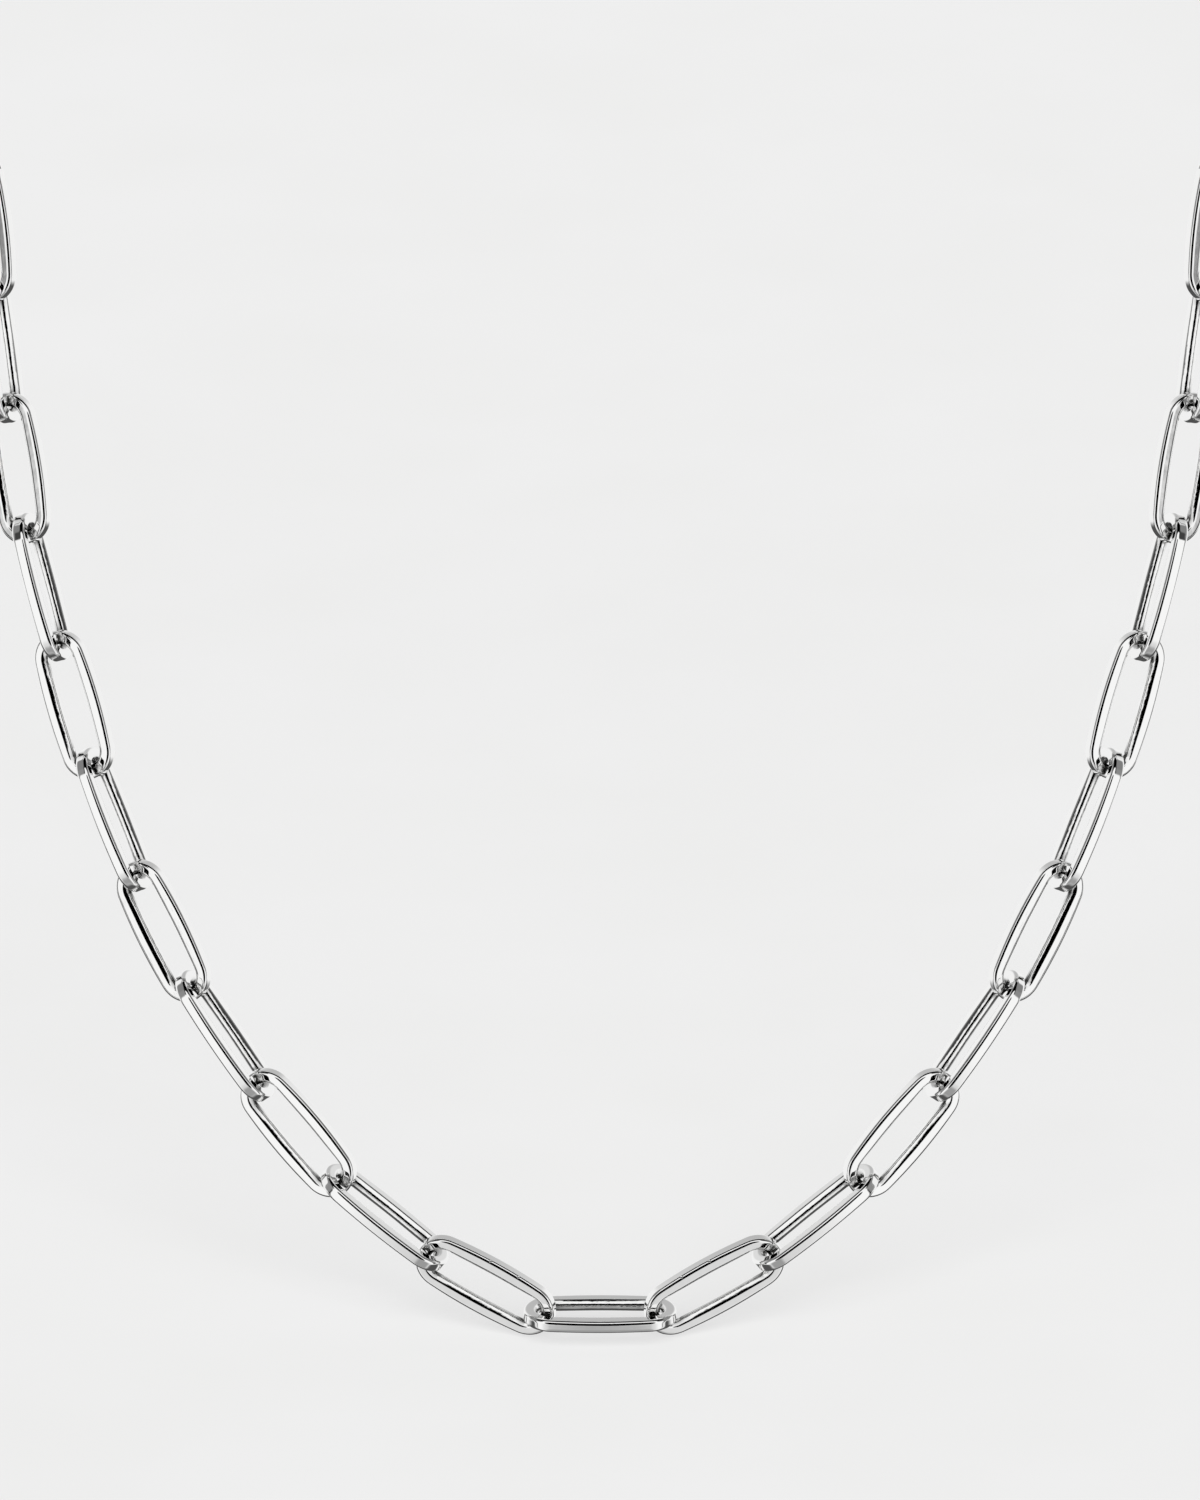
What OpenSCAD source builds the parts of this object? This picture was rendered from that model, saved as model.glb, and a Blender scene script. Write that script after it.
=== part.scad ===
/* [Links] */
// Outer length of one link
link_length = 14.7; // [13.4:0.1:17.4]
// Outer width of one link
link_width = 6; // [5.6:0.1:7.4]
// Width of the wire on the link's flat face
wire_width = 1.35; // [1.1:0.05:1.45]
// Thickness of the wire from one flat face to the other
wire_thickness = 1.25; // [1:0.05:1.35]
// Bevel along the four edges of the wire
edge_bevel = 0.24; // [0.16:0.02:0.34]
// Free play where two links interlock
link_play = 0.6; // [0.5:0.05:0.9]

/* [Chain] */
// Links on each side of the front link
side_links = 19; // [17:1:21]
// Lean of the front stretch from the upright, as it lies on a chest
chest_slope = 22; // [12:1:28]
// Roll of the links that show their flat face
face_roll = -33; // [-38:1:-28]
// Roll of the links that show their narrow edge
edge_roll = 64.5; // [60:0.5:68]

/* [Clasp] */
// Overall length of the clasp
clasp_length = 12.5; // [11:0.5:15]
// Outer width of the clasp's large ring
clasp_width = 6; // [5.6:0.2:7.5]
// Outer width of the clasp's small eye
eye_width = 4.8; // [4.6:0.2:5.4]
// Width of the bar between the ring and the eye
clasp_neck = 3.2; // [2.4:0.2:4.4]
// Wall round both openings of the clasp
clasp_wall = 1.1; // [0.9:0.05:1.2]
// Thickness of the clasp
clasp_thickness = 1.6; // [1.2:0.1:1.7]
// Free play between the clasp and each end link
clasp_play = 0.6; // [0.55:0.05:0.9]

/* [Hidden] */
$fn = 64;

// Columns: share of the way from the front link to the nape, tilt of the link in the front view
FRONT_TILT = [
  [0.00, 0],
  [0.05, 28.7],
  [0.10, 38.8],
  [0.15, 50],
  [0.20, 55.7],
  [0.25, 63.7],
  [0.30, 68.2],
  [0.35, 74],
  [0.40, 75.2],
  [0.45, 81],
  [0.50, 82.3],
  [0.55, 83]
];
// Columns: share of the way, part of the climb that is left as the chain tops the shoulder
CLIMB_LEFT = [
  [0.55, 1],
  [0.60, 0.78],
  [0.65, 0.54],
  [0.70, 0.31],
  [0.75, 0.13],
  [0.80, 0.03],
  [0.85, 0],
  [1, 0]
];
// Columns: share of the way, part of the turn from straight back to straight across the nape that is done
TURN_DONE = [
  [0.55, 0],
  [0.60, 0.04],
  [0.65, 0.17],
  [0.70, 0.36],
  [0.75, 0.56],
  [0.80, 0.70],
  [0.85, 0.81],
  [0.90, 0.90],
  [0.95, 0.96],
  [1, 1]
];
// Small turns by which the links up from the front link differ from the two rolls
ROLL_EXTRA = [0, 0, -2, 1, 1, -3, 0, 1, 4];
FRONT_END = 0.575;
UP = [0, 0, 1];

pitch = link_length - 2 * wire_width - link_play;
clasp_span = clasp_length - 2 * clasp_wall - clasp_play;
straight = link_length - link_width;
bend_radius = (link_width - wire_width) / 2;
steps = side_links + 1;

top_tilt = lookup(FRONT_END, FRONT_TILT);
top_climb = asin(sin(top_tilt) * cos(chest_slope));
top_turn = -atan2(cos(top_tilt), sin(top_tilt) * sin(chest_slope));

function unit(v) = v / norm(v);
function share(k) = k / steps;
function in_front(k) = share(k) < FRONT_END;

// Direction of the right side's link k, away from the front link.
// A higher bend delays the turn round the neck.
function front_heading(k) =
  let (tilt = lookup(share(k), FRONT_TILT))
  [cos(tilt), sin(tilt) * sin(chest_slope), sin(tilt) * cos(chest_slope)];
function back_heading(k, bend) =
  let (climb = top_climb * lookup(share(k), CLIMB_LEFT))
  let (turn = top_turn + (90 - top_turn) * pow(lookup(share(k), TURN_DONE), bend))
  [-cos(climb) * sin(turn), cos(climb) * cos(turn), sin(climb)];
function heading(k, bend) = in_front(k) ? front_heading(k) : back_heading(k, bend);

// How far past the clasp's end the last link stops, on its way to the middle of the nape
function reach(k, bend) = k == 0 ? pitch / 2 : pitch * heading(k, bend).x + reach(k - 1, bend);
function overshoot(bend) = reach(side_links, bend) - clasp_span / 2;
function solve_bend(low, high, tries) =
  let (middle = (low + high) / 2)
  tries == 0 ? middle
  : overshoot(middle) > 0 ? solve_bend(low, middle, tries - 1)
  : solve_bend(middle, high, tries - 1);
neck_bend = solve_bend(0.2, 4, 40);

// Points where link k of the right side hands over to the next one
JOINS = [
  for (
    k = 0, point = [pitch / 2, 0, 0];
    k <= side_links;
    k = k + 1, point = point + pitch * heading(k, neck_bend)
  )
    point
];
nape = JOINS[side_links];
neck_middle = [0, nape.y / 2, nape.z];

// Direction that looks away from the chest, the shoulder or the neck
function outward(k, along) =
  in_front(k) ? [0, -cos(chest_slope), sin(chest_slope)] : unit(UP - (UP * along) * along);
function roll(k) =
  let (extra = k < len(ROLL_EXTRA) ? ROLL_EXTRA[k] : 0)
  (k % 2 == 0 ? edge_roll : face_roll) + extra;
function face_normal(k, along) =
  let (out = outward(k, along))
  cos(roll(k)) * out + sin(roll(k)) * cross(out, along);
function mirrored(v, side) = [side * v.x, v.y, v.z];

module placed(centre, along, normal) {
  across = cross(normal, along);
  multmatrix([
    [along.x, across.x, normal.x, centre.x - neck_middle.x],
    [along.y, across.y, normal.y, centre.y - neck_middle.y],
    [along.z, across.z, normal.z, centre.z - neck_middle.z]
  ])
    children();
}

// Bevelled rectangle, x across the link's face and y through its thickness
module wire_section() {
  x = wire_width / 2;
  y = wire_thickness / 2;
  b = edge_bevel;
  polygon([
    [x, b - y],
    [x, y - b],
    [x - b, y],
    [b - x, y],
    [-x, y - b],
    [-x, b - y],
    [b - x, -y],
    [x - b, -y]
  ]);
}

module rail() {
  rotate([90, 0, 90])
    linear_extrude(height = straight, center = true)
      wire_section();
}

module bend() {
  rotate([0, 0, -90])
    rotate_extrude(angle = 180)
      translate([bend_radius, 0])
        wire_section();
}

module link() {
  color("silver") {
    for (side = [-1, 1])
      translate([0, side * bend_radius, 0])
        rail();
    translate([straight / 2, 0, 0])
      bend();
    translate([-straight / 2, 0, 0])
      rotate([0, 0, 180])
        bend();
  }
}

module front_link() {
  along = [1, 0, 0];
  placed([0, 0, 0], along, face_normal(0, along))
    link();
}

module side_link(k, side) {
  along = heading(k, neck_bend);
  centre = (JOINS[k - 1] + JOINS[k]) / 2;
  placed(mirrored(centre, side), mirrored(along, side), mirrored(face_normal(k, along), side))
    link();
}

module clasp_plan() {
  ring_x = (clasp_width - clasp_length) / 2;
  eye_x = (clasp_length - eye_width) / 2;
  difference() {
    union() {
      translate([ring_x, 0])
        circle(d = clasp_width);
      translate([eye_x, 0])
        circle(d = eye_width);
      translate([ring_x, -clasp_neck / 2])
        square([eye_x - ring_x, clasp_neck]);
    }
    translate([ring_x, 0])
      circle(d = clasp_width - 2 * clasp_wall);
    translate([eye_x, 0])
      circle(d = eye_width - 2 * clasp_wall);
  }
}

module clasp() {
  along = [-1, 0, 0];
  color("silver")
    placed([0, nape.y, nape.z], along, face_normal(steps, along))
      linear_extrude(height = clasp_thickness, center = true)
        clasp_plan();
}

function numbered(word, k) = str(word, k < 10 ? "_0" : "_", k);

front_link();
clasp();
for (k = [1:side_links]) {
  side_link(k, 1);
  side_link(k, -1);
}
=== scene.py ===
import math

import bmesh
import bpy
import numpy as np
from bpy.props import FloatProperty, FloatVectorProperty, IntProperty, PointerProperty
from mathutils import Matrix, Vector


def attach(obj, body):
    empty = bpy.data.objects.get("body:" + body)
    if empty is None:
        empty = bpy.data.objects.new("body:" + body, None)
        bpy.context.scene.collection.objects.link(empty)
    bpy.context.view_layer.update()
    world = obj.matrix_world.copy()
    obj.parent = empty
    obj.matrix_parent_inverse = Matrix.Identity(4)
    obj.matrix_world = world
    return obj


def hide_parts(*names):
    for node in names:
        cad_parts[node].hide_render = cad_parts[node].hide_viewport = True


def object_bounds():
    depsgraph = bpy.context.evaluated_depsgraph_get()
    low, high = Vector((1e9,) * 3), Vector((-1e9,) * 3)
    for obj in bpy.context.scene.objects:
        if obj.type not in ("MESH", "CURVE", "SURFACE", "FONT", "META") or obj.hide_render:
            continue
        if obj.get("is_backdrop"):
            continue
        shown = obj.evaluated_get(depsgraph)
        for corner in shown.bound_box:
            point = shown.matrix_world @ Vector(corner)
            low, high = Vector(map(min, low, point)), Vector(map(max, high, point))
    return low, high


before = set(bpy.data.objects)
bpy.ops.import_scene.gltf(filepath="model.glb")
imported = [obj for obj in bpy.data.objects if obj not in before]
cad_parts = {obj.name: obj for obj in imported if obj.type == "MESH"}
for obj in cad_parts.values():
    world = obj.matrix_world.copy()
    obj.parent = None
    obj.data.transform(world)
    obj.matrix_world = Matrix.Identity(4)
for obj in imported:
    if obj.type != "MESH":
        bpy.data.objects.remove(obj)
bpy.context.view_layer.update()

bl_info = {
    "name": "Paperclip Chain",
    "version": (1, 0, 0),
    "blender": (4, 5, 0),
    "location": "3D Viewport > Sidebar > Chain",
    "description": "Dresses a neck chain of flat-faced paperclip links in polished silver",
    "category": "Add Mesh",
}

BODY = "root"
CLASP_NODE = "clasp"
LINK_NODES = sorted(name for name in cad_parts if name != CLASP_NODE)
MM = 0.001

# Where the photograph is taken from, and the point at its middle
VIEW_ELEVATION = math.radians(22)
TO_VIEWER = Vector((0, -math.cos(VIEW_ELEVATION), math.sin(VIEW_ELEVATION)))
PICTURE_UP = Vector((0, math.sin(VIEW_ELEVATION), math.cos(VIEW_ELEVATION)))
PHOTO_HEIGHT_PX = 1500
FRONT_LINK_AXIS_PX = 1314
MM_PER_PX = 0.0936

# What the polished metal sees all round it, each row laid over the rows above it.
# Columns: name, azimuth from the viewer, elevation, radius, soft edge outside it, brightness
STUDIO = [
    ("pale upper back", 180, 68, 103, 12, 0.92),
    ("grey middle of the back", 180, 46, 14, 34, 0.5),
    ("far edge of the bright rim", 0, 26, 93, 4, 0.12),
    ("bright rim", 0, 26, 90, 4, 0.8),
    ("gap inside the rim", 0, 24, 81, 4, 0.0),
    ("ring light", 0, -2, 64, 5, 0.97),
    ("grey foot of the ring light", 0, -38, 18, 26, 0.68),
    ("dark foot of the ring light", 0, -50, 14, 14, 0.33),
    ("upper left flag", -66, 35, 16, 5, 0.05),
    ("upper right flag", 66, 35, 16, 5, 0.05),
    ("left flag", -80, 16, 15, 7, 0.26),
    ("top of the left flag", -97, 34, 15, 7, 0.22),
    ("right flag", 80, 16, 15, 7, 0.26),
    ("top of the right flag", 97, 34, 15, 7, 0.22),
    ("gap round the lens", 0, 6, 30, 4, 0.0),
]
# Brightness where no card stands
TENT_LEVEL = 0.08

# Nicks in the edge of the two links beside the front one: along the link and across it, in millimetres
NICKS = {
    "left_link_01": [(-0.68, 2.95), (2.34, 2.9)],
    "right_link_01": [(0.68, 2.95), (-2.34, 2.9)],
}
NICK_HEIGHT = 0.5
NICK_RADIUS = 0.16
NICK_DEPTH = 0.05

# Steps in millimetres by which each piece's texture coordinates are moved on, so that no two match
PIECE_STEP = Vector((31, 17, 23))
# Side to which the length of every part points
RIGHT_AND_UP = Vector((1, 0, 0.5))


class ChainSettings(bpy.types.PropertyGroup):
    """Sizes of the links and the clasp"""

    wire_width: FloatProperty(
        name="Wire width",
        description="Width of the wire across its flat face, round the ends of a link",
        default=1.3 * MM,
        unit="LENGTH",
    )
    side_swell: FloatProperty(
        name="Side swell",
        description="How much wider the wire is along the sides of a link, on their inner side",
        default=0.18 * MM,
        unit="LENGTH",
    )
    end_trim: FloatProperty(
        name="End trim",
        description="How far each end of a link stops short of the frame's plainer link",
        default=0.2 * MM,
        unit="LENGTH",
    )
    outer_round: FloatProperty(
        name="Outer rounding",
        description="Radius of the wire's two edges on the outside of a link",
        default=0.34 * MM,
        unit="LENGTH",
    )
    inner_bevel: FloatProperty(
        name="Inner bevel",
        description="Width across the face of the two bevels on the inside of a link",
        default=0.34 * MM,
        unit="LENGTH",
    )
    inner_flat: FloatProperty(
        name="Inner flat",
        description="Height of the wire's inner wall between its two bevels",
        default=0.48 * MM,
        unit="LENGTH",
    )
    wall_round: FloatProperty(
        name="Wall rounding",
        description="How far the edge between the inner wall and a bevel is rounded off on each side",
        default=0.18 * MM,
        unit="LENGTH",
    )
    face_round: FloatProperty(
        name="Face rounding",
        description="How far the edge between a bevel and the face is rounded off on each side",
        default=0.12 * MM,
        unit="LENGTH",
    )
    inner_crown: FloatProperty(
        name="Inner crown",
        description="How far the middle of the wire's inner wall stands out",
        default=0.02 * MM,
        unit="LENGTH",
    )
    rail_bow: FloatProperty(
        name="Rail bow",
        description="Angle by which each half of a long side turns before the tighter end",
        default=math.radians(6.5),
        subtype="ANGLE",
    )
    bend_steps: IntProperty(
        name="Bend steps",
        description="Steps round each end of a link",
        default=44,
    )
    rail_steps: IntProperty(
        name="Rail steps",
        description="Steps along half of each long side",
        default=7,
    )
    clasp_wall: FloatProperty(
        name="Clasp wall",
        description="Width of the wall round both openings of the clasp",
        default=1.1 * MM,
        unit="LENGTH",
    )
    clasp_eye: FloatProperty(
        name="Clasp eye",
        description="Outer radius of the clasp's small eye",
        default=2.4 * MM,
        unit="LENGTH",
    )
    clasp_round: FloatProperty(
        name="Clasp rounding",
        description="Radius of the clasp's edges",
        default=0.25 * MM,
        unit="LENGTH",
    )


class SilverSettings(bpy.types.PropertyGroup):
    """Finish of the metal"""

    colour: FloatVectorProperty(
        name="Silver",
        description="Colour of the polished metal",
        subtype="COLOR",
        default=(0.95, 0.95, 0.945),
    )
    tarnish_colour: FloatVectorProperty(
        name="Tarnish",
        description="Colour of the worn patches on the inner walls and of the nicks",
        subtype="COLOR",
        default=(0.9, 0.895, 0.88),
    )
    # Painted shade: near-black base colour laid on the inner walls at the ends of each link, where
    # they lie in shade
    painted_recess_shade: FloatVectorProperty(
        name="Recess",
        description="Colour of the dark polish left inside the ends of a link",
        subtype="COLOR",
        default=(0.02, 0.02, 0.018),
    )
    roughness: FloatProperty(
        name="Roughness",
        description="Roughness of the polish between the scratches",
        default=0.03,
        subtype="FACTOR",
    )
    dull_roughness: FloatProperty(
        name="Dull roughness",
        description="Roughness where the polish is scratched or rubbed",
        default=0.12,
        subtype="FACTOR",
    )
    waviness: FloatProperty(
        name="Waviness",
        description="Height of the slow waves that hand polishing leaves",
        default=0.012 * MM,
        unit="LENGTH",
    )
    inner_waviness: FloatProperty(
        name="Inner waviness",
        description="Height of the tool marks left on the inner walls, where the polish doesn't reach",
        default=0.028 * MM,
        unit="LENGTH",
    )
    scratch_depth: FloatProperty(
        name="Scratch depth",
        description="Depth of the finest scratches",
        default=0.0006 * MM,
        unit="LENGTH",
    )


class StudioSettings(bpy.types.PropertyGroup):
    """Camera, floor and light"""

    camera_distance: FloatProperty(
        name="Camera distance",
        description="From the camera to the plane of the chain's front",
        default=2.5,
        unit="LENGTH",
    )
    floor_gap: FloatProperty(
        name="Floor gap",
        description="From the lowest link down to the floor",
        default=0.4 * MM,
        unit="LENGTH",
    )
    floor_size: FloatProperty(
        name="Floor size",
        description="Half the side of the floor",
        default=6.0,
        unit="LENGTH",
    )
    floor_colour: FloatVectorProperty(
        name="Floor",
        description="Colour of the floor",
        subtype="COLOR",
        default=(0.14, 0.14, 0.14),
    )
    floor_cloud_colour: FloatVectorProperty(
        name="Floor clouds",
        description="Colour of the floor's faint clouds",
        subtype="COLOR",
        default=(0.13, 0.13, 0.127),
    )
    floor_grain: FloatProperty(
        name="Floor grain",
        description="How close together the floor's faint clouds lie",
        default=90.0,
    )
    floor_relief: FloatProperty(
        name="Floor relief",
        description="Height of the floor's faint clouds",
        default=0.05 * MM,
        unit="LENGTH",
    )
    floor_glow: FloatProperty(
        name="Floor glow",
        description="Even light that comes through the floor from below",
        default=0.656,
    )
    floor_light: FloatProperty(
        name="Floor light",
        description="Strength of the soft light that shades the floor, from the front and above",
        default=7.0,
    )
    floor_light_lean: FloatProperty(
        name="Floor light lean",
        description="How far that light leans from straight overhead towards the viewer",
        default=math.radians(60),
        subtype="ANGLE",
    )
    floor_light_spread: FloatProperty(
        name="Floor light spread",
        description="Angle across that light, which softens its shadow",
        default=math.radians(60),
        subtype="ANGLE",
    )
    backdrop_level: FloatProperty(
        name="Backdrop",
        description="Brightness past the edge of the floor",
        default=0.855,
    )


def own_frame(name):
    """Matrix from a part's own axes, length, width and face, to its place, and its size along each"""
    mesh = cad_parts[name].data
    mesh.calc_loop_triangles()
    points = np.array([v.co for v in mesh.vertices])
    triangles = points[np.array([t.vertices for t in mesh.loop_triangles])]
    middles = triangles.mean(axis=1)
    areas = np.array([t.area for t in mesh.loop_triangles])
    centre = (middles * areas[:, None]).sum(axis=0) / areas.sum()
    spread = (middles - centre).T @ ((middles - centre) * areas[:, None])
    axes = np.linalg.eigh(spread)[1].T
    face, across, along = (Vector(axis) for axis in axes)
    if face.dot(TO_VIEWER) < 0:
        face.negate()
    if along.dot(RIGHT_AND_UP) < 0:
        along.negate()
    across = face.cross(along)
    reach = (points - centre) @ np.array([along, across, face]).T
    low, high = reach.min(axis=0), reach.max(axis=0)
    turn = Matrix((along, across, face)).transposed()
    place = turn.to_4x4()
    place.translation = Vector(centre) + turn @ Vector((low + high) / 2)
    # An uneven part is turned so that its heavier end lies towards -X
    if low[0] + high[0] < -1e-6:
        place = place @ Matrix.Rotation(math.pi, 4, "Z")
    return place, high - low


def each_once(items):
    """List of the items, each of them once and in their own order, which a set would lose"""
    return list(dict.fromkeys(items))


def cut_corners(bm, corners, offset, segments):
    """Cuts or rounds corners of a flat outline"""
    bmesh.ops.bevel(
        bm,
        geom=corners,
        offset=offset,
        offset_type="OFFSET",
        segments=segments,
        profile=0.5,
        affect="VERTICES",
        material=-1,
    )


def wire_outline(bm, settings, thickness):
    """Closed loop of edges in the plane x = 0: round outer edges, bevelled inner ones"""
    flat_cuts = 4
    nearly_half = 0.49
    width = settings.wire_width
    long_edge = 0.2 * width
    bmesh.ops.create_grid(bm, x_segments=1, y_segments=1, size=0.5)
    bmesh.ops.scale(bm, verts=bm.verts, vec=(width, thickness, 1))
    outer_corners = [v for v in bm.verts if v.co.x < 0]
    cut_corners(bm, outer_corners, settings.outer_round, segments=8)
    inner_corners = [v for v in bm.verts if v.co.x > nearly_half * width]
    cut_corners(bm, inner_corners, settings.inner_bevel, segments=1)
    at_wall = [v for v in bm.verts if v.co.x > nearly_half * width]
    to_flat = settings.inner_flat / (thickness - 2 * settings.inner_bevel)
    bmesh.ops.scale(bm, verts=at_wall, vec=(1, to_flat, 1))
    cut_corners(bm, at_wall, settings.wall_round, segments=6)
    at_face = [v for v in bm.verts if v.co.x > 0 and abs(v.co.y) > nearly_half * thickness]
    cut_corners(bm, at_face, settings.face_round, segments=5)
    bmesh.ops.delete(bm, geom=bm.faces[:], context="FACES_ONLY")
    flats = [e for e in bm.edges if e.calc_length() > long_edge]
    bmesh.ops.subdivide_edges(bm, edges=flats, cuts=flat_cuts)
    inner = bm.verts.layers.float.new("inner_wall")
    inside = bm.verts.layers.float.new("inner_side")
    for v in bm.verts:
        x, y = 2 * v.co.x / width, 2 * v.co.y / thickness
        v[inner] = max(x, 0) ** 4
        v[inside] = (x + 1) / 2
        if x > 0:
            v.co.x += settings.inner_crown * (1 - y**2) * x**4
    turn = Matrix(((0, 0, 1), (1, 0, 0), (0, 1, 0)))
    bmesh.ops.transform(bm, matrix=turn.to_4x4(), verts=bm.verts)
    return bm.edges[:]


def bend_on(bm, edges, centre, angle, steps):
    """Draws an open outline on round the upright axis through centre; returns the last outline"""
    verts = each_once(v for e in edges for v in e.verts)
    made = bmesh.ops.spin(
        bm,
        geom=verts + edges,
        cent=centre,
        axis=(0, 0, 1),
        dvec=(0, 0, 0),
        angle=angle,
        steps=steps,
        use_merge=False,
        use_duplicate=False,
    )
    return [g for g in made["geom_last"] if isinstance(g, bmesh.types.BMEdge)]


def link_bmesh(settings, length, width, thickness):
    """One link about its own middle: length along X, width along Y and flat faces along Z"""
    bow = settings.rail_bow
    sine, cosine = math.sin(bow), math.cos(bow)
    reach = (length - settings.wire_width) / 2 - settings.end_trim
    side = (width - settings.wire_width) / 2
    rail_radius = (reach * cosine - side * (1 - sine)) / (sine * cosine - (1 - cosine) * (1 - sine))
    end_radius = (side - rail_radius * (1 - cosine)) / cosine
    rail_centre = Vector((0, rail_radius - side, 0))
    end_centre = Vector((reach - end_radius, 0, 0))
    bm = bmesh.new()
    edges = wire_outline(bm, settings, thickness)
    bmesh.ops.translate(bm, verts=bm.verts, vec=(0, -side, 0))
    edges = bend_on(bm, edges, rail_centre, bow, settings.rail_steps)
    edges = bend_on(bm, edges, end_centre, math.pi - 2 * bow, settings.bend_steps)
    edges = bend_on(bm, edges, -rail_centre, 2 * bow, 2 * settings.rail_steps)
    edges = bend_on(bm, edges, -end_centre, math.pi - 2 * bow, settings.bend_steps)
    bend_on(bm, edges, rail_centre, bow, settings.rail_steps)
    bmesh.ops.remove_doubles(bm, verts=bm.verts, dist=1e-6)
    # Mask for the painted shade: the inner walls, strongest towards each end of the link
    recess = bm.verts.layers.float.new("recess")
    inner = bm.verts.layers.float["inner_wall"]
    inside = bm.verts.layers.float["inner_side"]
    for v in bm.verts:
        to_end = min(abs(v.co.x) / end_centre.x, 1)
        swell = settings.side_swell * (1 - to_end**3) * v[inside]
        v.co.y -= math.copysign(swell, v.co.y)
        v[recess] = v[inner] * to_end**8
    bm.verts.layers.float.remove(inside)
    bmesh.ops.recalc_face_normals(bm, faces=bm.faces)
    return bm


def flat_ring(bm, middle, outer, inner, steps):
    """Flat ring in the plane z = 0; returns the edges of its outer rim"""
    half_step = Matrix.Rotation(math.pi / steps, 3, "Z")
    rims = []
    for radius in (outer, inner):
        verts = bmesh.ops.create_circle(bm, segments=steps, radius=radius)["verts"]
        bmesh.ops.rotate(bm, verts=verts, matrix=half_step)
        bmesh.ops.translate(bm, verts=verts, vec=(middle, 0, 0))
        rims.append(each_once(e for v in verts for e in v.link_edges))
    bmesh.ops.bridge_loops(bm, edges=rims[0] + rims[1])
    return rims[0]


def clasp_bmesh(settings, length, width, thickness):
    """The clasp about its own middle: the large ring towards -X, the small eye towards +X"""
    ring_steps, eye_steps, bar_steps, smooth_passes = 96, 72, 17, 6
    ring, eye = width / 2, settings.clasp_eye
    ring_middle = ring - length / 2
    eye_middle = length / 2 - eye
    bm = bmesh.new()
    ring_rim = flat_ring(bm, ring_middle, ring, ring - settings.clasp_wall, ring_steps)
    eye_rim = flat_ring(bm, eye_middle, eye, eye - settings.clasp_wall, eye_steps)
    ring_rim.sort(key=lambda e: -sum(v.co.x for v in e.verts))
    eye_rim.sort(key=lambda e: sum(v.co.x for v in e.verts))
    bmesh.ops.bridge_loops(bm, edges=ring_rim[:bar_steps] + eye_rim[:bar_steps])
    for _ in range(smooth_passes):
        corners = [v for v in bm.verts if v.is_boundary and len(v.link_edges) > 3]
        bmesh.ops.smooth_vert(bm, verts=corners, factor=0.5, use_axis_x=True, use_axis_y=True)
    plate = bmesh.ops.extrude_face_region(bm, geom=bm.faces[:])["geom"]
    lifted = [g for g in plate if isinstance(g, bmesh.types.BMVert)]
    bmesh.ops.translate(bm, verts=lifted, vec=(0, 0, thickness))
    bmesh.ops.translate(bm, verts=bm.verts, vec=(0, 0, -thickness / 2))
    bmesh.ops.recalc_face_normals(bm, faces=bm.faces)
    rims = [e for e in bm.edges if e.calc_face_angle(0) > math.radians(60)]
    bmesh.ops.bevel(
        bm,
        geom=rims,
        offset=settings.clasp_round,
        offset_type="OFFSET",
        segments=5,
        profile=0.5,
        clamp_overlap=True,
        affect="EDGES",
        material=-1,
    )
    bmesh.ops.recalc_face_normals(bm, faces=bm.faces)
    return bm


def piece_origin(node):
    """Where a piece's own middle lies in its texture coordinates, in millimetres"""
    return PIECE_STEP * sorted(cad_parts).index(node)


def finish_piece(bm, node, place):
    """Makes the piece that stands for a CAD node, from a shape about its own middle"""
    mesh = bpy.data.meshes.new("polished_" + node)
    bm.to_mesh(mesh)
    points = np.empty(3 * len(mesh.vertices))
    mesh.vertices.foreach_get("co", points)
    points = points.reshape(-1, 3) / MM + np.array(piece_origin(node))
    own = mesh.attributes.new("piece_xyz", "FLOAT_VECTOR", "POINT")
    own.data.foreach_set("vector", points.ravel())
    mesh.transform(place)
    for polygon in mesh.polygons:
        polygon.use_smooth = True
    mesh.materials.append(polished_silver())
    piece = bpy.data.objects.new("polished_" + node, mesh)
    bpy.context.scene.collection.objects.link(piece)
    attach(piece, BODY)
    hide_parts(node)
    return piece


def new_group(name, inputs, outputs):
    """Empty shader group; returns it with the nodes that hold its inputs and outputs"""
    group = bpy.data.node_groups.new(name, "ShaderNodeTree")
    for label, kind in inputs:
        group.interface.new_socket(label, in_out="INPUT", socket_type=kind)
    for label, kind in outputs:
        group.interface.new_socket(label, in_out="OUTPUT", socket_type=kind)
    return group, group.nodes.new("NodeGroupInput"), group.nodes.new("NodeGroupOutput")


def use_group(tree, group, vector):
    """Puts a shader group into a node tree, fed with coordinates"""
    node = tree.nodes.new("ShaderNodeGroup")
    node.node_tree = group
    tree.links.new(vector, node.inputs["Vector"])
    return node


def add_math(tree, operation, *values, clamp=False):
    """Adds a math node; each value is a socket or a number"""
    node = tree.nodes.new("ShaderNodeMath")
    node.operation = operation
    node.use_clamp = clamp
    for socket, value in zip(node.inputs, values):
        if isinstance(value, bpy.types.NodeSocket):
            tree.links.new(value, socket)
        else:
            socket.default_value = value
    return node.outputs["Value"]


def add_noise(tree, vector, scale, detail, stretch=(1, 1, 1), turn=(0, 0, 0)):
    """Adds noise whose grain is stretched and turned; returns its factor"""
    mapping = tree.nodes.new("ShaderNodeMapping")
    mapping.inputs["Scale"].default_value = stretch
    mapping.inputs["Rotation"].default_value = turn
    tree.links.new(vector, mapping.inputs["Vector"])
    noise = tree.nodes.new("ShaderNodeTexNoise")
    noise.inputs["Scale"].default_value = scale
    noise.inputs["Detail"].default_value = detail
    tree.links.new(mapping.outputs["Vector"], noise.inputs["Vector"])
    return noise.outputs["Fac"]


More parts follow.
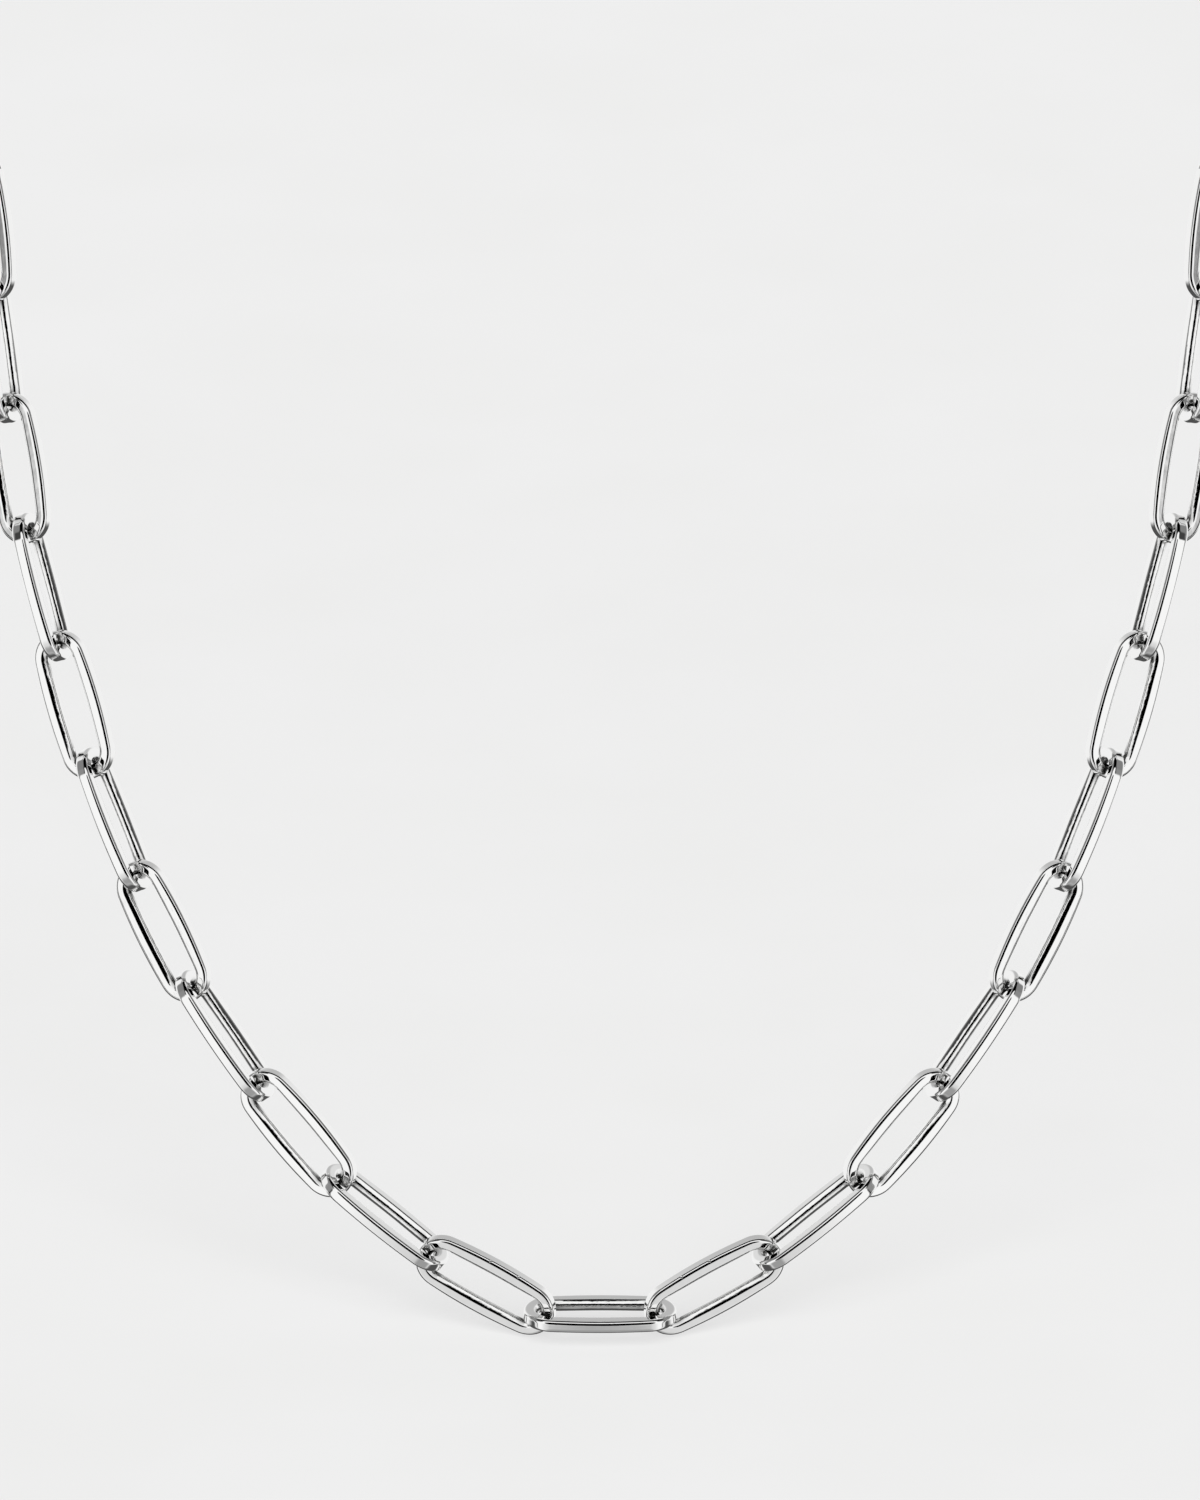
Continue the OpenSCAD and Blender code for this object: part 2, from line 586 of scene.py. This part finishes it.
def add_range(tree, value, low, high, to_low=0.0, to_high=1.0):
    """Adds a smooth range; returns its result"""
    node = tree.nodes.new("ShaderNodeMapRange")
    node.interpolation_type = "SMOOTHSTEP"
    node.inputs["From Min"].default_value = low
    node.inputs["From Max"].default_value = high
    node.inputs["To Min"].default_value = to_low
    node.inputs["To Max"].default_value = to_high
    tree.links.new(value, node.inputs["Value"])
    return node.outputs["Result"]


def add_colour_mix(tree, factor, first, second):
    """Adds a mix of two colours, each a socket or three numbers; returns its result"""
    node = tree.nodes.new("ShaderNodeMix")
    node.data_type = "RGBA"
    tree.links.new(factor, node.inputs["Factor"])
    for name, value in (("A", first), ("B", second)):
        if isinstance(value, bpy.types.NodeSocket):
            tree.links.new(value, node.inputs[name])
        else:
            node.inputs[name].default_value = (*value, 1)
    return node.outputs["Result"]


def slow_clouds():
    """Shared group: soft clouds at two sizes, from coordinates"""
    group = bpy.data.node_groups.get("slow_clouds")
    if group:
        return group
    group, inside, out = new_group(
        "slow_clouds", [("Vector", "NodeSocketVector")], [("Height", "NodeSocketFloat")]
    )
    close_share = 0.3
    wide = add_noise(group, inside.outputs["Vector"], scale=0.4, detail=1)
    close = add_noise(group, inside.outputs["Vector"], scale=1.3, detail=1)
    mixed = add_math(group, "MULTIPLY_ADD", close, close_share, wide)
    group.links.new(mixed, out.inputs["Height"])
    return group


def fine_scratches():
    """Group: hair-fine scratches in two directions, as a mask"""
    group, inside, out = new_group(
        "fine_scratches", [("Vector", "NodeSocketVector")], [("Mask", "NodeSocketFloat")]
    )
    vector = inside.outputs["Vector"]
    along = add_noise(group, vector, scale=9, detail=2, stretch=(0.12, 1, 1), turn=(0, 0, 0.25))
    aslant = add_noise(group, vector, scale=8, detail=2, stretch=(0.15, 1, 1), turn=(0, 0.4, -0.5))
    deepest = add_math(group, "MAXIMUM", along, aslant)
    group.links.new(add_range(group, deepest, low=0.6, high=0.78), out.inputs["Mask"])
    return group


def edge_nicks():
    """Group: the small nicks in the edges of two links, as a mask"""
    group, inside, out = new_group(
        "edge_nicks", [("Vector", "NodeSocketVector")], [("Mask", "NodeSocketFloat")]
    )
    total = None
    for node, places in NICKS.items():
        for along, across in places:
            away = group.nodes.new("ShaderNodeVectorMath")
            away.operation = "DISTANCE"
            away.inputs[1].default_value = piece_origin(node) + Vector((along, across, NICK_HEIGHT))
            group.links.new(inside.outputs["Vector"], away.inputs[0])
            distance = away.outputs["Value"]
            near = add_range(group, distance, low=0, high=NICK_RADIUS, to_low=1, to_high=0)
            total = near if total is None else add_math(group, "ADD", total, near)
    group.links.new(total, out.inputs["Mask"])
    return group


def polished_silver():
    """Bright silver: hand polish, tool marks on the inner walls, fine scratches, rubbed edges, and
    painted shade on the inner walls at the ends of each link
    """
    material = bpy.data.materials.get("polished_silver")
    if material:
        return material
    settings = bpy.context.scene.silver_settings
    rub_dullness, nick_dullness = 0.25, 0.6
    material = bpy.data.materials.new("polished_silver")
    material.use_nodes = True
    tree = material.node_tree
    nodes, links = tree.nodes, tree.links
    shader = nodes["Principled BSDF"]
    place = nodes.new("ShaderNodeAttribute")
    place.attribute_name = "piece_xyz"
    vector = place.outputs["Vector"]
    inner = nodes.new("ShaderNodeAttribute")
    inner.attribute_name = "inner_wall"
    recess = nodes.new("ShaderNodeAttribute")
    recess.attribute_name = "recess"

    waves = use_group(tree, slow_clouds(), vector).outputs["Height"]
    marks = add_noise(tree, vector, scale=2.4, detail=2, stretch=(0.7, 1, 1))
    scratches = use_group(tree, fine_scratches(), vector).outputs["Mask"]
    nicks = use_group(tree, edge_nicks(), vector).outputs["Mask"]
    rub = add_range(tree, add_noise(tree, vector, scale=0.9, detail=3), low=0.5, high=0.72)

    wave_height = add_math(tree, "MULTIPLY", waves, settings.waviness)
    mark_size = add_math(tree, "MULTIPLY", inner.outputs["Fac"], settings.inner_waviness)
    mark_height = add_math(tree, "MULTIPLY", marks, mark_size)
    height = add_math(tree, "ADD", wave_height, mark_height)
    height = add_math(tree, "MULTIPLY_ADD", scratches, -settings.scratch_depth, height)
    height = add_math(tree, "MULTIPLY_ADD", nicks, -NICK_DEPTH * MM, height)
    bump = nodes.new("ShaderNodeBump")
    bump.inputs["Strength"].default_value = 1
    bump.inputs["Distance"].default_value = 1
    links.new(height, bump.inputs["Height"])
    links.new(bump.outputs["Normal"], shader.inputs["Normal"])

    dull = add_math(tree, "MULTIPLY_ADD", rub, rub_dullness, scratches, clamp=True)
    dull = add_math(tree, "MULTIPLY_ADD", nicks, nick_dullness, dull, clamp=True)
    roughness = add_range(tree, dull, 0, 1, settings.roughness, settings.dull_roughness)
    links.new(roughness, shader.inputs["Roughness"])

    worn = add_math(tree, "MULTIPLY", inner.outputs["Fac"], rub)
    worn = add_math(tree, "MAXIMUM", worn, nicks)
    tone = add_colour_mix(tree, worn, settings.colour, settings.tarnish_colour)
    # Painted shade: near-black mixed into the base colour on the inner walls at the ends, broken into
    # flecks by the marks noise
    shade_flecks = add_range(tree, marks, low=0.66, high=0.5)
    dark = add_math(tree, "MULTIPLY", recess.outputs["Fac"], shade_flecks)
    tone = add_colour_mix(tree, dark, tone, settings.painted_recess_shade)
    links.new(tone, shader.inputs["Base Color"])
    shader.inputs["Metallic"].default_value = 1
    return material


class CHAIN_OT_links(bpy.types.Operator):
    """Make every link of the chain from bent wire, where the frame has it"""

    bl_idname = "chain.links"
    bl_label = "Links"

    def execute(self, context):
        settings = context.scene.chain_settings
        shapes = {}
        for name in LINK_NODES:
            place, (length, width, thickness) = own_frame(name)
            size = (round(length, 6), round(width, 6), round(thickness, 6))
            if size not in shapes:
                shapes[size] = link_bmesh(settings, length, width, thickness)
            finish_piece(shapes[size], name, place)
        for bm in shapes.values():
            bm.free()
        return {"FINISHED"}


class CHAIN_OT_clasp(bpy.types.Operator):
    """Make the plain clasp at the nape, a large ring and a small eye in one plate"""

    bl_idname = "chain.clasp"
    bl_label = "Clasp"

    def execute(self, context):
        settings = context.scene.chain_settings
        place, size = own_frame(CLASP_NODE)
        bm = clasp_bmesh(settings, *size)
        finish_piece(bm, CLASP_NODE, place)
        bm.free()
        return {"FINISHED"}


def pale_floor():
    """Matt pale card with very faint clouds, lit evenly from below"""
    settings = bpy.context.scene.studio_settings
    material = bpy.data.materials.new("pale_floor")
    material.use_nodes = True
    tree = material.node_tree
    nodes, links = tree.nodes, tree.links
    shader = nodes["Principled BSDF"]
    place = nodes.new("ShaderNodeTexCoord").outputs["Object"]
    spread = nodes.new("ShaderNodeVectorMath")
    spread.operation = "SCALE"
    spread.inputs["Scale"].default_value = settings.floor_grain
    links.new(place, spread.inputs[0])
    clouds = use_group(tree, slow_clouds(), spread.outputs["Vector"]).outputs["Height"]
    patches = add_range(tree, clouds, low=0.3, high=1)
    tone = add_colour_mix(tree, patches, settings.floor_colour, settings.floor_cloud_colour)
    links.new(tone, shader.inputs["Base Color"])
    roughness = add_range(tree, clouds, low=0.3, high=1, to_low=1, to_high=0.9)
    links.new(roughness, shader.inputs["Roughness"])
    bump = nodes.new("ShaderNodeBump")
    bump.inputs["Distance"].default_value = settings.floor_relief
    links.new(clouds, bump.inputs["Height"])
    links.new(bump.outputs["Normal"], shader.inputs["Normal"])
    shader.inputs["Specular IOR Level"].default_value = 0
    shader.inputs["Emission Color"].default_value = (1, 1, 1, 1)
    shader.inputs["Emission Strength"].default_value = settings.floor_glow
    return material


def direction(azimuth, elevation):
    """Unit vector at an azimuth from the viewer, towards +X, and an elevation, in degrees"""
    a, e = math.radians(azimuth), math.radians(elevation)
    return Vector((math.sin(a) * math.cos(e), -math.cos(a) * math.cos(e), math.sin(e)))


def studio_world(backdrop_level):
    """Dim tent round the chain, with the studio's cards laid over it"""
    world = bpy.data.worlds.new("studio")
    world.use_nodes = True
    nodes, links = world.node_tree.nodes, world.node_tree.links
    nodes.clear()
    ray = nodes.new("ShaderNodeTexCoord").outputs["Generated"]
    level = None
    for name, azimuth, elevation, radius, soft_edge, brightness in STUDIO:
        facing = nodes.new("ShaderNodeVectorMath")
        facing.operation = "DOT_PRODUCT"
        facing.inputs[1].default_value = direction(azimuth, elevation)
        links.new(ray, facing.inputs[0])
        card = nodes.new("ShaderNodeMapRange")
        card.label = name
        card.interpolation_type = "SMOOTHSTEP"
        card.inputs["From Min"].default_value = math.cos(math.radians(radius + soft_edge))
        card.inputs["From Max"].default_value = math.cos(math.radians(radius))
        links.new(facing.outputs["Value"], card.inputs["Value"])
        over = nodes.new("ShaderNodeMix")
        over.data_type = "FLOAT"
        over.inputs["A"].default_value = TENT_LEVEL
        over.inputs["B"].default_value = brightness
        links.new(card.outputs["Result"], over.inputs["Factor"])
        if level is not None:
            links.new(level, over.inputs["A"])
        level = over.outputs["Result"]
    seen = nodes.new("ShaderNodeLightPath")
    shown = nodes.new("ShaderNodeMix")
    shown.data_type = "FLOAT"
    shown.inputs["B"].default_value = backdrop_level
    links.new(seen.outputs["Is Camera Ray"], shown.inputs["Factor"])
    links.new(level, shown.inputs["A"])
    background = nodes.new("ShaderNodeBackground")
    links.new(shown.outputs["Result"], background.inputs["Color"])
    output = nodes.new("ShaderNodeOutputWorld")
    links.new(background.outputs["Background"], output.inputs["Surface"])
    return world


def lay_floor(scene, settings):
    """Lays the pale floor just below the lowest link"""
    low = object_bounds()[0]
    bm = bmesh.new()
    bmesh.ops.create_grid(bm, x_segments=1, y_segments=1, size=settings.floor_size)
    bmesh.ops.translate(bm, verts=bm.verts, vec=(0, 0, low.z - settings.floor_gap))
    mesh = bpy.data.meshes.new("floor")
    bm.to_mesh(mesh)
    bm.free()
    floor = bpy.data.objects.new("floor", mesh)
    scene.collection.objects.link(floor)
    mesh.materials.append(pale_floor())
    floor.visible_glossy = False
    floor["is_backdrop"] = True


def hang_floor_light(scene, settings):
    """Hangs the soft light that shades the floor, out of sight of the metal"""
    light = bpy.data.lights.new("floor_light", "SUN")
    light.energy = settings.floor_light
    light.angle = settings.floor_light_spread
    lamp = bpy.data.objects.new("floor_light", light)
    lamp.rotation_euler = (settings.floor_light_lean, 0, 0)
    lamp.visible_glossy = False
    scene.collection.objects.link(lamp)


def place_camera(scene, settings):
    """Places the camera so that the chain fills the picture as in the photograph"""
    camera = bpy.data.objects.new("camera", bpy.data.cameras.new("camera"))
    scene.collection.objects.link(camera)
    front = own_frame("front_link")[0].translation
    up_from_front = (FRONT_LINK_AXIS_PX - PHOTO_HEIGHT_PX / 2) * MM_PER_PX * MM
    middle = Vector((0, front.y, front.z)) + PICTURE_UP * up_from_front
    camera.location = middle + TO_VIEWER * settings.camera_distance
    camera.rotation_euler = (math.pi / 2 - VIEW_ELEVATION, 0, 0)
    seen_height = PHOTO_HEIGHT_PX * MM_PER_PX * MM
    camera.data.lens = camera.data.sensor_width * settings.camera_distance / seen_height
    camera.data.clip_end = 20
    scene.camera = camera


class CHAIN_OT_stage(bpy.types.Operator):
    """Set up the pale floor, the studio light and the camera"""

    bl_idname = "chain.stage"
    bl_label = "Stage"

    def execute(self, context):
        scene = context.scene
        settings = scene.studio_settings
        lay_floor(scene, settings)
        hang_floor_light(scene, settings)
        scene.world = studio_world(settings.backdrop_level)
        scene.view_settings.view_transform = "Standard"
        place_camera(scene, settings)
        return {"FINISHED"}


class CHAIN_PT_sidebar(bpy.types.Panel):
    """Shows the settings of the chain, the silver and the studio, and the buttons that make the links,
    the clasp and the stage
    """

    bl_idname = "CHAIN_PT_sidebar"
    bl_label = "Paperclip Chain"
    bl_space_type = "VIEW_3D"
    bl_region_type = "UI"
    bl_category = "Chain"

    def draw(self, context):
        for group in ("chain_settings", "silver_settings", "studio_settings"):
            settings = getattr(context.scene, group)
            for name in settings.__annotations__:
                self.layout.prop(settings, name)
        self.layout.operator(CHAIN_OT_links.bl_idname)
        self.layout.operator(CHAIN_OT_clasp.bl_idname)
        self.layout.operator(CHAIN_OT_stage.bl_idname)


SETTINGS = {
    "chain_settings": ChainSettings,
    "silver_settings": SilverSettings,
    "studio_settings": StudioSettings,
}
CLASSES = [*SETTINGS.values(), CHAIN_OT_links, CHAIN_OT_clasp, CHAIN_OT_stage, CHAIN_PT_sidebar]


def register():
    for cls in CLASSES:
        bpy.utils.register_class(cls)
    for name, group in SETTINGS.items():
        setattr(bpy.types.Scene, name, PointerProperty(type=group))


def unregister():
    for name in SETTINGS:
        delattr(bpy.types.Scene, name)
    for cls in reversed(CLASSES):
        bpy.utils.unregister_class(cls)


def main():
    register()
    bpy.ops.chain.links()
    bpy.ops.chain.clasp()
    bpy.ops.chain.stage()


if __name__ == "__main__":
    main()
